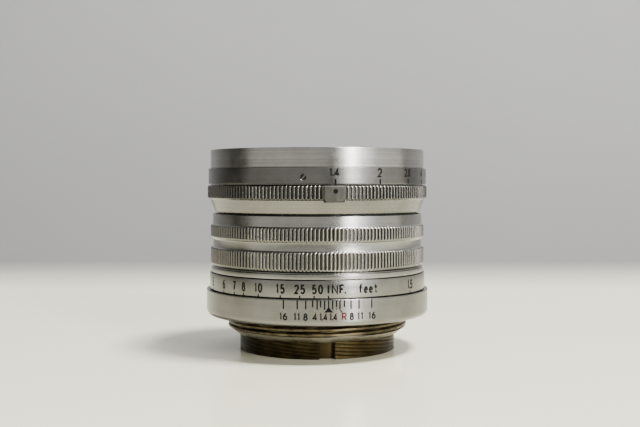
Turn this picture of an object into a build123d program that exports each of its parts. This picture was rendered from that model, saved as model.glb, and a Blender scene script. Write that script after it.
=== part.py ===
from build123d import *
from math import asin, cos, degrees, radians, sin, sqrt
import os

# A 50 mm f/1.4 prime lens for rangefinder cameras, standing on its rear end, at infinity and f/1.4.
# Millimetres. The optical axis is +Z, towards the front. The origin is the middle of the rear end.
# Azimuths are degrees about the axis from the reading side (-Y) towards +X; outlines are
# (radius, height) points. The screw threads are plain cylinders at their major radius.

# ---- Driving dimensions ----
MOUNT_THREAD_R = 19.5          # 39 mm x 26 tpi camera thread
FILTER_THREAD_R = 21.5         # 43 mm filter thread
FLANGE_Z = 7.5                 # seating face on the camera
TOP_Z = 43.09                  # front rim
RUNNING = 0.07                 # radial clearance of a turning or sliding fit
SEAT = 0.02                    # radial clearance of a screwed or glued fit

FOCUS_TURN = 310.85            # degrees of the focusing ring, infinity to 1.5 ft; moves the optics 7.9 mm
IRIS_TURN = 90.0               # degrees of the aperture ring, f/1.4 to f/16
BLADE_TURN = 35.1              # degrees of each iris blade over that turn
BLADES = 8

# Helicoid sleeve: the keyed brass tube that carries the optics
SLEEVE_R = 16.93
SLEEVE_BORE_R = 14.9
SLEEVE_TOP_Z = 26.9
KEYWAY_AZIMUTH = 7.1
KEYWAY_WIDTH = 2.95
KEYWAY_FLOOR_R = 15.7
KEYWAY_TOP_Z = 13.5

# Mount barrel
BORE_R = SLEEVE_R + RUNNING
LIP_Z = 3.6
LIP_R = 17.5
THREAD_START_Z = 4.85
THREAD_FOOT_R = 19.1
THREAD_END_Z = 7.0
RELIEF_R = 19.0
TUBE_R = 20.2
TUBE_BORE_R = 19.07
LEDGE_Z = 13.5
STOP_GROOVE_Z = (14.3, 15.7)
STOP_GROOVE_DEPTH = 0.6
COLLAR_R = 20.7
COLLAR_Z = (16.9, 18.4)

# Fixed depth-of-field ring and turning distance ring
DEPTH_R = 24.18
DEPTH_TOP_Z = 13.14
DEPTH_BEVEL_Z = 8.75
DEPTH_BEVEL_END = (23.1, 7.67)
DEPTH_FOOT_R = 21.5
DISTANCE_R = 23.46
DISTANCE_Z = (13.3, 16.79)
SPIGOT_R = (21.6, 22.1)
SPIGOT_TOP_Z = 17.6

# Focusing grip
GRIP_TOP_Z = 29.31
KNURL_R = 23.29
BAND_R = 22.81
VALLEY_R = 22.72
BEAD_R = 23.15
BEAD_TOP_Z = 17.92
GROOVE_R = 22.45
GROOVE_Z = (17.98, 18.16)
LOWER_KNURL_Z = (18.7, 22.32)
VALLEY_Z = (22.6, 24.3)
UPPER_KNURL_Z = (24.59, 27.1)
BAND_BOTTOM_Z = 27.3
WELL_R = 22.25                 # inner wall above the nut's flange
SHELF_Z = 18.5
FLANGE_TOP_Z = 20.0
NUT_NECK_R = 18.4
NUT_TOP_Z = 26.5

# Iris housing and the rings around it
HOUSING_R = 20.1
HOUSING_BORE_R = 19.3
FLOOR_Z = (27.0, 28.2)
IRIS_OPEN_R = 11.6
SKIRT_R = 22.05
SKIRT_BORE_R = 21.3
SKIRT_Z = (20.7, 29.66)
SKIRT_BEVEL = 0.45
HOUSING_TOP_Z = 35.64

# Aperture ring
APERTURE_KNURL_R = 23.93
APERTURE_Z = (29.86, 35.54)
APERTURE_FOOT_R = 22.28
APERTURE_TAPER = (23.35, 32.5)
APERTURE_KNURL_Z = (32.68, 35.23)
LUG_AZIMUTHS = (3.25, 13.6)
LUG_R = (22.5, 24.15)
LUG_Z = (32.2, 35.5)
DRIVE_AZIMUTH = 188.4
DRIVE_Z = 31.9

# Aperture-scale ring, filter ring and front cell
SCALE_R = 23.72
SCALE_Z = (35.85, 39.13)
SCALE_FOOT_R = 23.1
FILTER_R = 23.24
FILTER_THREAD_END_Z = 40.8     # undercut below this
UNDERCUT_R = 21.9
CELL_R = 20.4
CELL_TOP_Z = 39.9
CELL_FLOOR_Z = (33.5, 35.0)
CELL_SKIRT_R = 19.2
FRONT_RING_R = 19.4
RING_SEAT_Z = 36.7
RING_LIP_R = 21.3
TRIPLET_CELL_R = 13.6
TRIPLET_CELL_NECK_R = 12.4
TRIPLET_CELL_Z = (30.55, 31.6)
TRIPLET_TOP_Z = 34.6

# Rear cell
COLLAR_BORE_R = 14.2
COLLAR_BOTTOM_Z = 25.2
REAR_CELL_R = 14.8
REAR_CELL_BOTTOM_Z = 5.6

# Iris blades and cam ring
PIVOT_R = 17.6
DRIVE_ARM = 2.83
BLADE_R = (11.75, 16.6)
BLADE_SPAN = 94.0
BLADE_THICKNESS = 0.12
BLADE_PITCH = 0.26
BLADE_Z = 28.3
PIVOT_PIN_R = 0.3
DRIVE_PIN_R = 0.2
CAM_R = 19.23
CAM_BORE_R = 12.6
CAM_COLLAR_BORE_R = 18.2
CAM_Z = (30.5, 31.3)
CAM_COLLAR_Z = 33.2

# Glass: (front vertex, front radius, rear vertex, rear radius, rim radius); a positive radius
# is convex towards the front
FRONT_LENS_R = 18.4
TRIPLET_R = 12.0
REAR_R = 12.5
LENSES = {
    "lens_1_front": (40.7, 41.0, 36.5, 150.0, FRONT_LENS_R),
    "lens_2_triplet_front": (36.3, 24.0, 35.2, 30.0, TRIPLET_R),
    "lens_3_triplet_middle": (35.2, 30.0, 34.3, 40.0, TRIPLET_R),
    "lens_5_rear_front": (20.0, 110.0, 18.8, 18.0, REAR_R),
    "lens_6_rear_middle": (18.8, 18.0, 9.0, -30.0, REAR_R),
    "lens_7_rear_last": (9.0, -30.0, 6.6, -38.0, REAR_R),
}
LENS_4 = (34.3, 40.0, 33.1, 24.0, TRIPLET_R)
LENS_4_CLEAR_R = 10.2

# Screws: (thread radius, length, head radius, head height)
GRIP_SCREW = (0.5, 2.3, 0.7, 0.4)
SLEEVE_SCREW = (0.5, 3.0, 0.8, 0.5)
KEY_SCREW = (0.6, 1.9, 1.0, 0.55)
DRIVE_SCREW = (0.5, 4.0, 0.75, 0.8)
SCALE_SET_SCREW = (0.6, 2.9)       # set screws: (radius, length)
DEPTH_SET_SCREW = (0.7, 3.4)
STOP_PIN_R = 0.6
STOP_PIN_LENGTH = 2.65
SCREW_SLOT_WIDTH = 0.22
SCREW_SLOT_DEPTH = 0.3

HANGING = (Align.CENTER, Align.CENTER, Align.MAX)


def compass(azimuth):
    """Angle from +X, in radians, of an azimuth measured from -Y towards +X."""
    return radians(azimuth - 90)


def meridian(azimuth):
    """The plane through the optical axis at an azimuth: local x is the radius, local y the height."""
    a = compass(azimuth)
    return Plane(origin=(0, 0, 0), x_dir=(cos(a), sin(a), 0), z_dir=(sin(a), -cos(a), 0))


def outward(azimuth, height, radius):
    """The plane square to a radius, facing away from the axis."""
    a = compass(azimuth)
    place = (radius * cos(a), radius * sin(a), height)
    return Plane(origin=place, x_dir=(-sin(a), cos(a), 0), z_dir=(cos(a), sin(a), 0))


def upward(azimuth, height, radius):
    """The level plane at a radius, facing the front of the lens."""
    a = compass(azimuth)
    place = (radius * cos(a), radius * sin(a), height)
    return Plane(origin=place, x_dir=(-sin(a), cos(a), 0), z_dir=(0, 0, 1))


def outline(*points, plane=Plane.XZ):
    """A closed outline of (radius, height) points, to revolve about the optical axis."""
    with BuildSketch(plane) as sketch:
        with BuildLine():
            Polyline(*points, close=True)
        make_face()
    return sketch.sketch


def tube(inner, outer, bottom, top):
    """The outline of a plain ring."""
    return outline((inner, bottom), (outer, bottom), (outer, top), (inner, top))


def sag(curvature_radius, radius):
    """How far a spherical surface falls behind its vertex at a distance from the axis."""
    depth = abs(curvature_radius) - sqrt(curvature_radius**2 - radius**2)
    return depth if curvature_radius > 0 else -depth


def surface(vertex, curvature_radius, radius):
    """The (radius, height) point of a spherical surface."""
    return (radius, vertex - sag(curvature_radius, radius))


def lens_outline(front, front_radius, rear, rear_radius, rim):
    """Half of a lens element's section."""
    with BuildSketch(Plane.XZ) as sketch:
        with BuildLine():
            top = [surface(front, front_radius, r) for r in (0, rim / 2, rim)]
            bottom = [surface(rear, rear_radius, r) for r in (rim, rim / 2, 0)]
            ThreePointArc(*top)
            Line(top[-1], bottom[0])
            ThreePointArc(*bottom)
            Line(bottom[-1], top[0])
        make_face()
    return sketch.sketch


def screw(radius, length, head_radius, head_height):
    """Add a slotted countersunk screw to the part being made, its head's face at the location."""
    Cylinder(radius, length, align=HANGING)
    Cone(radius, head_radius, head_height, align=HANGING)
    Box(SCREW_SLOT_WIDTH, 2 * head_radius, SCREW_SLOT_DEPTH, align=HANGING, mode=Mode.SUBTRACT)


def screw_seat(radius, length, head_radius, head_height):
    """Cut the hole that such a screw sits in."""
    Cylinder(radius + SEAT, length + SEAT, align=HANGING, mode=Mode.SUBTRACT)
    Cone(radius + SEAT, head_radius + SEAT, head_height, align=HANGING, mode=Mode.SUBTRACT)


def set_screw(radius, length):
    """Add a slotted headless screw to the part being made, its outer end at the location."""
    Cylinder(radius, length, align=HANGING)
    Box(SCREW_SLOT_WIDTH, 2 * radius, SCREW_SLOT_DEPTH, align=HANGING, mode=Mode.SUBTRACT)


def set_screw_hole(radius, length):
    """Cut the hole for such a screw, open towards the outside."""
    Cylinder(radius + SEAT, length + SEAT, align=HANGING, mode=Mode.SUBTRACT)
    Cylinder(radius + SEAT, 2, mode=Mode.SUBTRACT)


def finish(node, label):
    """Name a finished piece and write it."""
    node.part.label = label
    export_step(node.part, f"parts/{label}.step")


os.makedirs("parts", exist_ok=True)

# ---- Where the fasteners are ----
grip_screw_places = [upward(45 + 90 * i, FLANGE_TOP_Z, 21.5) for i in range(4)]
sleeve_screw_places = [upward(30 + 90 * i, FLOOR_Z[1], 15.9) for i in range(4)]
key_screw_places = [outward(KEYWAY_AZIMUTH + 180, z, -15.8) for z in (6.5, 11.0)]
scale_screw_places = [outward(-6.55 + 120 * i, 37.2, 23.45) for i in range(3)]
depth_screw_places = [outward(100 + 80 * i, 10.6, 23.9) for i in range(3)]
drive_screw_place = outward(DRIVE_AZIMUTH, DRIVE_Z, 22.7)
stop_pin_place = outward(180, 15.0, 19.65)

# ---- Fixed on the camera ----
with BuildPart() as mount_barrel:
    revolve(outline(
        (BORE_R, LIP_Z),
        (LIP_R, LIP_Z),
        (THREAD_FOOT_R, THREAD_START_Z),
        (MOUNT_THREAD_R, THREAD_START_Z + 0.2),
        (MOUNT_THREAD_R, THREAD_END_Z),
        (RELIEF_R, THREAD_END_Z),
        (RELIEF_R, FLANGE_Z),
        (TUBE_R, FLANGE_Z),
        (TUBE_R, COLLAR_Z[0]),
        (COLLAR_R, COLLAR_Z[0]),
        (COLLAR_R, COLLAR_Z[1]),
        (TUBE_BORE_R, COLLAR_Z[1]),
        (TUBE_BORE_R, LEDGE_Z),
        (BORE_R, LEDGE_Z),
    ))
    # the groove that stops the focusing ring at infinity and at the nearest distance
    groove_r = TUBE_R - STOP_GROOVE_DEPTH
    stop_margin = degrees(asin((STOP_PIN_R + 0.05) / groove_r))
    groove = outline(
        (groove_r, STOP_GROOVE_Z[0]),
        (TUBE_R + 0.1, STOP_GROOVE_Z[0]),
        (TUBE_R + 0.1, STOP_GROOVE_Z[1]),
        (groove_r, STOP_GROOVE_Z[1]),
        plane=meridian(180 - stop_margin),
    )
    revolve(groove, revolution_arc=FOCUS_TURN + 2 * stop_margin, mode=Mode.SUBTRACT)
    with Locations(*key_screw_places):
        screw_seat(*KEY_SCREW)
finish(mount_barrel, "mount_barrel")

with BuildPart() as guide_key:
    revolve(tube(KEYWAY_FLOOR_R + 0.08, BORE_R, 4.5, 13.0))
    with Locations(meridian(KEYWAY_AZIMUTH)):
        Box(40, 30, KEYWAY_WIDTH - 0.1, align=(Align.MIN, Align.MIN, Align.CENTER), mode=Mode.INTERSECT)
    with Locations(*key_screw_places):
        screw_seat(*KEY_SCREW)
finish(guide_key, "guide_key")

with BuildPart() as guide_key_screws:
    with Locations(*key_screw_places):
        screw(*KEY_SCREW)
finish(guide_key_screws, "guide_key_screws")

with BuildPart() as depth_scale_ring:
    with BuildSketch(Plane.XZ):
        with BuildLine():
            Polyline(
                (DEPTH_FOOT_R, FLANGE_Z),
                (TUBE_R, FLANGE_Z),
                (TUBE_R, DEPTH_TOP_Z),
                (DEPTH_R - 0.15, DEPTH_TOP_Z),
                (DEPTH_R, DEPTH_TOP_Z - 0.15),
                (DEPTH_R, DEPTH_BEVEL_Z),
            )
            ThreePointArc((DEPTH_R, DEPTH_BEVEL_Z), (23.86, 7.99), DEPTH_BEVEL_END)
            Line(DEPTH_BEVEL_END, (DEPTH_FOOT_R, FLANGE_Z))
        make_face()
    revolve()
    with Locations(*depth_screw_places):
        set_screw_hole(*DEPTH_SET_SCREW)
finish(depth_scale_ring, "depth_scale_ring")

with BuildPart() as depth_ring_screws:
    with Locations(*depth_screw_places):
        set_screw(*DEPTH_SET_SCREW)
finish(depth_ring_screws, "depth_ring_screws")

# ---- Turning: focusing ring ----
with BuildPart() as distance_ring:
    inner = TUBE_R + RUNNING
    low, high = DISTANCE_Z
    revolve(outline(
        (inner, low),
        (DISTANCE_R - 0.1, low),
        (DISTANCE_R, low + 0.1),
        (DISTANCE_R, high - 0.1),
        (DISTANCE_R - 0.1, high),
        (SPIGOT_R[1], high),
        (SPIGOT_R[1], SPIGOT_TOP_Z),
        (SPIGOT_R[0], SPIGOT_TOP_Z),
        (SPIGOT_R[0], high),
        (inner, high),
    ))
    with Locations(stop_pin_place):
        Cylinder(STOP_PIN_R + SEAT, STOP_PIN_LENGTH + SEAT, align=(Align.CENTER, Align.CENTER, Align.MIN),
                 mode=Mode.SUBTRACT)
finish(distance_ring, "distance_ring")

with BuildPart() as focus_stop_pin:
    with Locations(stop_pin_place):
        Cylinder(STOP_PIN_R, STOP_PIN_LENGTH, align=(Align.CENTER, Align.CENTER, Align.MIN))
finish(focus_stop_pin, "focus_stop_pin")

with BuildPart() as focus_grip:
    # knurl crests, with the plain band at the top and the valley between the two lower knurls
    revolve(outline(
        (COLLAR_R + RUNNING, DISTANCE_Z[1]),
        (SPIGOT_R[0] - SEAT, DISTANCE_Z[1]),
        (SPIGOT_R[0] - SEAT, SPIGOT_TOP_Z + SEAT),
        (SPIGOT_R[1] + SEAT, SPIGOT_TOP_Z + SEAT),
        (SPIGOT_R[1] + SEAT, DISTANCE_Z[1]),
        (BEAD_R, DISTANCE_Z[1] + 0.2),
        (BEAD_R, BEAD_TOP_Z),
        (GROOVE_R, GROOVE_Z[0]),
        (GROOVE_R, GROOVE_Z[1]),
        (KNURL_R, LOWER_KNURL_Z[0]),
        (KNURL_R, LOWER_KNURL_Z[1]),
        (VALLEY_R, VALLEY_Z[0]),
        (VALLEY_R, VALLEY_Z[1]),
        (KNURL_R, UPPER_KNURL_Z[0]),
        (KNURL_R, UPPER_KNURL_Z[1]),
        (BAND_R, BAND_BOTTOM_Z),
        (BAND_R, GRIP_TOP_Z - 0.1),
        (BAND_R - 0.1, GRIP_TOP_Z),
        (WELL_R, GRIP_TOP_Z),
        (WELL_R, SHELF_Z),
        (COLLAR_R + RUNNING, SHELF_Z),
    ))
    with Locations(*grip_screw_places):
        screw_seat(*GRIP_SCREW)
finish(focus_grip, "focus_grip")

with BuildPart() as helicoid_nut:
    revolve(outline(
        (BORE_R, LEDGE_Z + 0.2),
        (TUBE_BORE_R - RUNNING, LEDGE_Z + 0.2),
        (TUBE_BORE_R - RUNNING, SHELF_Z),
        (WELL_R - SEAT, SHELF_Z),
        (WELL_R - SEAT, FLANGE_TOP_Z),
        (NUT_NECK_R, FLANGE_TOP_Z),
        (NUT_NECK_R, NUT_TOP_Z),
        (BORE_R, NUT_TOP_Z),
    ))
    with Locations(*grip_screw_places):
        screw_seat(*GRIP_SCREW)
finish(helicoid_nut, "helicoid_nut")

with BuildPart() as grip_screws:
    with Locations(*grip_screw_places):
        screw(*GRIP_SCREW)
finish(grip_screws, "grip_screws")

# ---- Sliding: the optical unit ----
with BuildPart() as helicoid_sleeve:
    revolve(outline(
        (SLEEVE_BORE_R, 0),
        (SLEEVE_R - 0.2, 0),
        (SLEEVE_R, 0.2),
        (SLEEVE_R, SLEEVE_TOP_Z),
        (SLEEVE_BORE_R, SLEEVE_TOP_Z),
    ))
    with Locations(outward(KEYWAY_AZIMUTH, 0, KEYWAY_FLOOR_R)):
        Box(KEYWAY_WIDTH, 2 * KEYWAY_TOP_Z, 4, align=(Align.CENTER, Align.CENTER, Align.MIN),
            mode=Mode.SUBTRACT)
    with Locations(*sleeve_screw_places):
        screw_seat(*SLEEVE_SCREW)
finish(helicoid_sleeve, "helicoid_sleeve")

with BuildPart() as optical_shim:
    revolve(tube(SLEEVE_BORE_R + 0.05, SLEEVE_R - 0.05, SLEEVE_TOP_Z, FLOOR_Z[0]))
    with Locations(*sleeve_screw_places):
        screw_seat(*SLEEVE_SCREW)
finish(optical_shim, "optical_shim")

with BuildPart() as sleeve_screws:
    with Locations(*sleeve_screw_places):
        screw(*SLEEVE_SCREW)
finish(sleeve_screws, "sleeve_screws")

shoulder_z = SKIRT_Z[1] - 0.5
with BuildPart() as barrel_skirt:
    revolve(outline(
        (SKIRT_BORE_R, SKIRT_Z[0]),
        (SKIRT_R, SKIRT_Z[0]),
        (SKIRT_R, shoulder_z - 0.3),
        (SKIRT_R - SKIRT_BEVEL, shoulder_z - 0.3 + SKIRT_BEVEL),
        (SKIRT_R - SKIRT_BEVEL, SKIRT_Z[1]),
        (HOUSING_R + 0.2, SKIRT_Z[1]),
        (HOUSING_R + 0.2, shoulder_z),
        (SKIRT_BORE_R, shoulder_z),
    ))
finish(barrel_skirt, "barrel_skirt")

pivot_azimuths = [90 + 360 / BLADES * i for i in range(BLADES)]

with BuildPart() as iris_housing:
    revolve(outline(
        (IRIS_OPEN_R, FLOOR_Z[0]),
        (COLLAR_BORE_R, FLOOR_Z[0]),
        (COLLAR_BORE_R, COLLAR_BOTTOM_Z),
        (SLEEVE_BORE_R, COLLAR_BOTTOM_Z),
        (SLEEVE_BORE_R, FLOOR_Z[0]),
        (SKIRT_BORE_R, FLOOR_Z[0]),
        (SKIRT_BORE_R, shoulder_z),
        (HOUSING_R, shoulder_z),
        (HOUSING_R, HOUSING_TOP_Z),
        (HOUSING_BORE_R, HOUSING_TOP_Z),
        (HOUSING_BORE_R, FLOOR_Z[1]),
        (IRIS_OPEN_R, FLOOR_Z[1]),
    ))
    # the arc slot that the aperture ring's drive screw travels in
    slot_margin = degrees(asin((DRIVE_SCREW[0] + 0.05) / HOUSING_BORE_R))
    arc_slot = outline(
        (HOUSING_BORE_R - 0.2, DRIVE_Z - 0.6),
        (HOUSING_R + 0.2, DRIVE_Z - 0.6),
        (HOUSING_R + 0.2, DRIVE_Z + 0.6),
        (HOUSING_BORE_R - 0.2, DRIVE_Z + 0.6),
        plane=meridian(DRIVE_AZIMUTH - slot_margin),
    )
    revolve(arc_slot, revolution_arc=IRIS_TURN + 2 * slot_margin, mode=Mode.SUBTRACT)
    with Locations(*[upward(azimuth, FLOOR_Z[1], PIVOT_R) for azimuth in pivot_azimuths]):
        Cylinder(PIVOT_PIN_R + 0.04, 0.8, align=HANGING, mode=Mode.SUBTRACT)
    with Locations(*sleeve_screw_places):
        screw_seat(*SLEEVE_SCREW)
finish(iris_housing, "iris_housing")

with BuildPart() as aperture_scale_ring:
    low, high = SCALE_Z
    revolve(outline(
        (CELL_R + SEAT, APERTURE_Z[1] + 0.1),
        (SCALE_FOOT_R, APERTURE_Z[1] + 0.1),
        (SCALE_FOOT_R, low),
        (SCALE_R - 0.1, low),
        (SCALE_R, low + 0.1),
        (SCALE_R, high - 0.15),
        (SCALE_R - 0.15, high),
        (CELL_R + SEAT, high),
    ))
    with Locations(*scale_screw_places):
        set_screw_hole(*SCALE_SET_SCREW)
finish(aperture_scale_ring, "aperture_scale_ring")

with BuildPart() as scale_ring_screws:
    with Locations(*scale_screw_places):
        set_screw(*SCALE_SET_SCREW)
finish(scale_ring_screws, "scale_ring_screws")

with BuildPart() as filter_ring:
    revolve(outline(
        (CELL_R + SEAT, SCALE_Z[1]),
        (FILTER_R, SCALE_Z[1]),
        (FILTER_R, TOP_Z - 0.3),
        (FILTER_R - 0.3, TOP_Z),
        (FILTER_THREAD_R + 0.4, TOP_Z),
        (FILTER_THREAD_R, TOP_Z - 0.4),
        (FILTER_THREAD_R, FILTER_THREAD_END_Z),
        (UNDERCUT_R, FILTER_THREAD_END_Z),
        (UNDERCUT_R, CELL_TOP_Z),
        (CELL_R + SEAT, CELL_TOP_Z),
    ))
finish(filter_ring, "filter_ring")

LENS_SEAT_Z = surface(*LENSES["lens_1_front"][2:4], FRONT_LENS_R)[1]

with BuildPart() as front_cell:
    revolve(outline(
        (TRIPLET_CELL_R + SEAT, CELL_FLOOR_Z[0]),
        (CELL_SKIRT_R, CELL_FLOOR_Z[0]),
        (CELL_SKIRT_R, HOUSING_TOP_Z),
        (CELL_R, HOUSING_TOP_Z),
        (CELL_R, CELL_TOP_Z),
        (FRONT_RING_R, CELL_TOP_Z),
        (FRONT_RING_R, RING_SEAT_Z),
        (FRONT_LENS_R + SEAT, RING_SEAT_Z),
        (FRONT_LENS_R + SEAT, LENS_SEAT_Z),
        (FRONT_LENS_R - 1.0, LENS_SEAT_Z),
        (15.5, CELL_FLOOR_Z[1]),
        (TRIPLET_CELL_R + SEAT, CELL_FLOOR_Z[1]),
    ))
finish(front_cell, "front_cell")

with BuildPart() as front_retaining_ring:
    inner = FRONT_LENS_R - 0.7
    revolve(outline(
        (inner, RING_SEAT_Z + 0.05),
        (FRONT_RING_R - SEAT, RING_SEAT_Z + 0.05),
        (FRONT_RING_R - SEAT, CELL_TOP_Z),
        (RING_LIP_R, CELL_TOP_Z),
        (RING_LIP_R, CELL_TOP_Z + 0.5),
        (FRONT_RING_R - 0.4, CELL_TOP_Z + 0.5),
        (inner, RING_SEAT_Z + 0.7),
    ))
finish(front_retaining_ring, "front_retaining_ring")

LENS_4_RIM_Z = surface(*LENS_4[2:4], LENS_4_CLEAR_R)[1]

with BuildPart() as triplet_cell:
    bore = TRIPLET_R + SEAT
    revolve(outline(
        (LENS_4_CLEAR_R + 0.1, TRIPLET_CELL_Z[0]),
        (TRIPLET_CELL_NECK_R, TRIPLET_CELL_Z[0]),
        (TRIPLET_CELL_NECK_R, TRIPLET_CELL_Z[1]),
        (TRIPLET_CELL_R, TRIPLET_CELL_Z[1]),
        (TRIPLET_CELL_R, TRIPLET_TOP_Z),
        (bore, TRIPLET_TOP_Z),
        (bore, LENS_4_RIM_Z),
        (LENS_4_CLEAR_R + 0.1, LENS_4_RIM_Z),
    ))
finish(triplet_cell, "triplet_cell")

with BuildPart() as triplet_retaining_ring:
    ring_bore = 11.3
    seat = surface(*LENSES["lens_2_triplet_front"][:2], ring_bore)
    revolve(outline(
        (ring_bore, seat[1] + SEAT),
        (TRIPLET_R, seat[1] + SEAT),
        (TRIPLET_R, TRIPLET_TOP_Z),
        (ring_bore + 0.3, TRIPLET_TOP_Z),
    ))
finish(triplet_retaining_ring, "triplet_retaining_ring")

REAR_SEAT_R = REAR_R - 0.6
REAR_RING_BORE_R = REAR_R - 0.9
REAR_SEAT_Z = surface(*LENSES["lens_5_rear_front"][:2], REAR_SEAT_R)[1] + SEAT
REAR_RIM_Z = surface(*LENSES["lens_7_rear_last"][2:4], REAR_RING_BORE_R)[1] - SEAT

with BuildPart() as rear_cell:
    revolve(outline(
        (REAR_R + SEAT, REAR_CELL_BOTTOM_Z),
        (REAR_CELL_R - 0.8, REAR_CELL_BOTTOM_Z),
        (REAR_CELL_R, REAR_CELL_BOTTOM_Z + 0.8),
        (REAR_CELL_R, COLLAR_BOTTOM_Z - 0.2),
        (COLLAR_BORE_R - SEAT, COLLAR_BOTTOM_Z - 0.2),
        (COLLAR_BORE_R - SEAT, FLOOR_Z[0]),
        (REAR_R + 0.5, FLOOR_Z[0]),
        (REAR_SEAT_R, REAR_SEAT_Z + 1.0),
        (REAR_SEAT_R, REAR_SEAT_Z),
        (REAR_R + SEAT, REAR_SEAT_Z),
    ))
finish(rear_cell, "rear_cell")

with BuildPart() as rear_retaining_ring:
    revolve(outline(
        (REAR_RING_BORE_R, REAR_RIM_Z - 1.9),
        (REAR_R, REAR_RIM_Z - 1.9),
        (REAR_R, REAR_RIM_Z),
        (REAR_RING_BORE_R, REAR_RIM_Z),
    ))
finish(rear_retaining_ring, "rear_retaining_ring")

# ---- Glass: one front element, a cemented triplet before the iris and another behind it ----
for label, element in LENSES.items():
    with BuildPart() as lens:
        revolve(lens_outline(*element))
    finish(lens, label)

with BuildPart() as lens_4:
    revolve(lens_outline(*LENS_4))
    revolve(tube(LENS_4_CLEAR_R, TRIPLET_R + 1, LENS_4_RIM_Z - 4, LENS_4_RIM_Z), mode=Mode.SUBTRACT)
finish(lens_4, "lens_4_triplet_rear")

# ---- Turning on the optical unit: aperture ring ----
with BuildPart() as aperture_ring:
    low, high = APERTURE_Z
    revolve(outline(
        (HOUSING_R + RUNNING, low),
        (APERTURE_FOOT_R, low),
        APERTURE_TAPER,
        (APERTURE_KNURL_R, APERTURE_KNURL_Z[0]),
        (APERTURE_KNURL_R, APERTURE_KNURL_Z[1]),
        (APERTURE_KNURL_R - 0.31, high),
        (HOUSING_R + RUNNING, high),
    ))
    # the notch that the finger lug is set in
    notch = outline(
        (LUG_R[0], LUG_Z[0]),
        (LUG_R[1] + 1, LUG_Z[0]),
        (LUG_R[1] + 1, high + 1),
        (LUG_R[0], high + 1),
        plane=meridian(LUG_AZIMUTHS[0]),
    )
    revolve(notch, revolution_arc=LUG_AZIMUTHS[1] - LUG_AZIMUTHS[0], mode=Mode.SUBTRACT)
    with Locations(drive_screw_place):
        screw_seat(*DRIVE_SCREW)
        Cylinder(DRIVE_SCREW[2] + SEAT, 1.6, align=(Align.CENTER, Align.CENTER, Align.MIN),
                 mode=Mode.SUBTRACT)
finish(aperture_ring, "aperture_ring")

with BuildPart() as aperture_lug:
    lug = outline(
        (LUG_R[0], LUG_Z[0]),
        (LUG_R[1] - 0.3, LUG_Z[0]),
        (LUG_R[1], LUG_Z[0] + 0.5),
        (LUG_R[1], LUG_Z[1] - 0.2),
        (LUG_R[1] - 0.2, LUG_Z[1]),
        (LUG_R[0], LUG_Z[1]),
        plane=meridian(LUG_AZIMUTHS[0]),
    )
    revolve(lug, revolution_arc=LUG_AZIMUTHS[1] - LUG_AZIMUTHS[0])
finish(aperture_lug, "aperture_lug")

with BuildPart() as aperture_drive_screw:
    with Locations(drive_screw_place):
        screw(*DRIVE_SCREW)
finish(aperture_drive_screw, "aperture_drive_screw")


def drive_pin(blade_turn):
    """Where a blade's drive pin is, seen from the axis with the blade's pivot on +X."""
    start = -90 - BLADE_TURN / 2
    a = radians(start + blade_turn)
    return (PIVOT_R + DRIVE_ARM * cos(a), DRIVE_ARM * sin(a))


def cam_point(share):
    """A point of the cam slot that moves the blades in proportion to the aperture ring."""
    x, y = drive_pin(share * BLADE_TURN)
    a = -radians(share * IRIS_TURN)
    return (x * cos(a) - y * sin(a), x * sin(a) + y * cos(a))


def cam_slot_side(offset):
    """Points along one side of the cam slot."""
    points = []
    for i in range(9):
        x, y = cam_point(i / 8)
        ahead_x, ahead_y = cam_point(i / 8 + 0.001)
        step = sqrt((ahead_x - x)**2 + (ahead_y - y)**2)
        points.append((x - offset * (ahead_y - y) / step, y + offset * (ahead_x - x) / step))
    return points


CAM_SLOT_R = DRIVE_PIN_R + 0.04

with BuildPart() as iris_cam_ring:
    revolve(outline(
        (CAM_BORE_R, CAM_Z[0]),
        (CAM_R, CAM_Z[0]),
        (CAM_R, CAM_COLLAR_Z),
        (CAM_COLLAR_BORE_R, CAM_COLLAR_Z),
        (CAM_COLLAR_BORE_R, CAM_Z[1]),
        (CAM_BORE_R, CAM_Z[1]),
    ))
    with BuildSketch(mode=Mode.PRIVATE) as cam_slot:
        with BuildLine():
            left = Spline(*cam_slot_side(CAM_SLOT_R))
            right = Spline(*cam_slot_side(-CAM_SLOT_R))
            Line(left @ 0, right @ 0)
            Line(left @ 1, right @ 1)
        make_face()
        with Locations(cam_point(0), cam_point(1)):
            Circle(CAM_SLOT_R)
    with BuildSketch(Plane.XY.offset(CAM_Z[0])):
        with PolarLocations(0, BLADES, start_angle=pivot_azimuths[0] - 90):
            add(cam_slot.sketch)
    extrude(amount=CAM_Z[1] - CAM_Z[0] + 0.03, mode=Mode.SUBTRACT)
    with Locations(drive_screw_place):
        Cylinder(DRIVE_SCREW[0] + SEAT, DRIVE_SCREW[1] + SEAT, align=HANGING, mode=Mode.SUBTRACT)
finish(iris_cam_ring, "iris_cam_ring")

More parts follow.
